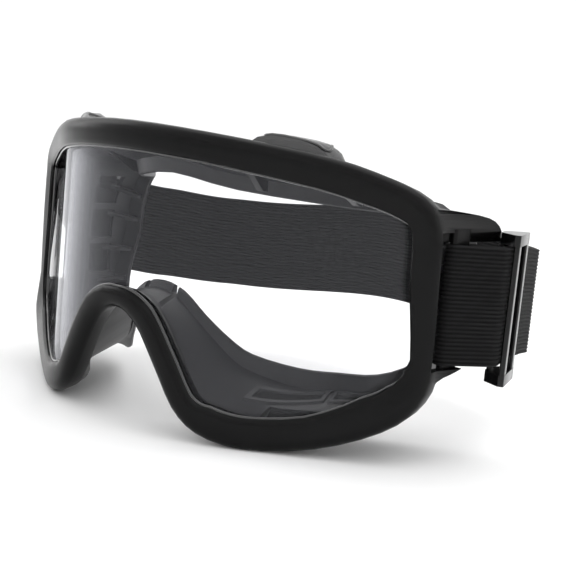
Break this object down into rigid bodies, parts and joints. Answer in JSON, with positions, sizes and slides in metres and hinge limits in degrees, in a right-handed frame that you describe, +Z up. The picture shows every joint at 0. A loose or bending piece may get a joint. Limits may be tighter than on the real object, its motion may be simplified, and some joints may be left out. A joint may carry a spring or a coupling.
{
  "type": "sports goggles",
  "caption": "Wide-view sports goggles with a black moulded rim, a curved clear lens, a soft face skirt with covered vents, and a ribbed elastic head strap with adjusting sliders",
  "frame": {"origin": "middle of the base of the bounding box, on the table under the middle of the loop of rim and strap", "axes": "+Z up; the lens faces -Y; +X is the right of someone who looks at the front"},
  "size_m": [0.1998, 0.1572, 0.096],
  "materials": {
    "rim_black": "satin black moulded plastic",
    "lens_clear": "clear polycarbonate, faint coating",
    "skirt_black": "soft black elastomer, satin",
    "vent_black": "glossy black plastic",
    "elastic_black": "ribbed woven elastic",
    "slider_black": "glossy black plastic"
  },
  "bodies": {
    "goggles": {"front_rim": "rim_black", "lens": "lens_clear", "face_skirt": "skirt_black", "top_vent_cap_left": "vent_black", "top_vent_cap_right": "vent_black", "bottom_vent_cap_left": "vent_black", "bottom_vent_cap_right": "vent_black", "strap_band": "elastic_black", "strap_return_left": "elastic_black", "strap_return_right": "elastic_black"},
    "adjuster_left": {"slider_left": "slider_black", "strap_end_left": "elastic_black"},
    "adjuster_right": {"slider_right": "slider_black", "strap_end_right": "elastic_black"}
  },
  "joints": [
    {"name": "slide_left", "type": "slide", "parent": "goggles", "child": "adjuster_left", "axis": [0.3256, 0.9455, 0], "range_m": [0, 0.02], "deforming": ["strap_return_left"]},
    {"name": "slide_right", "type": "slide", "parent": "goggles", "child": "adjuster_right", "axis": [-0.3256, 0.9455, 0], "range_m": [0, 0.02], "deforming": ["strap_return_right"]}
  ]
}
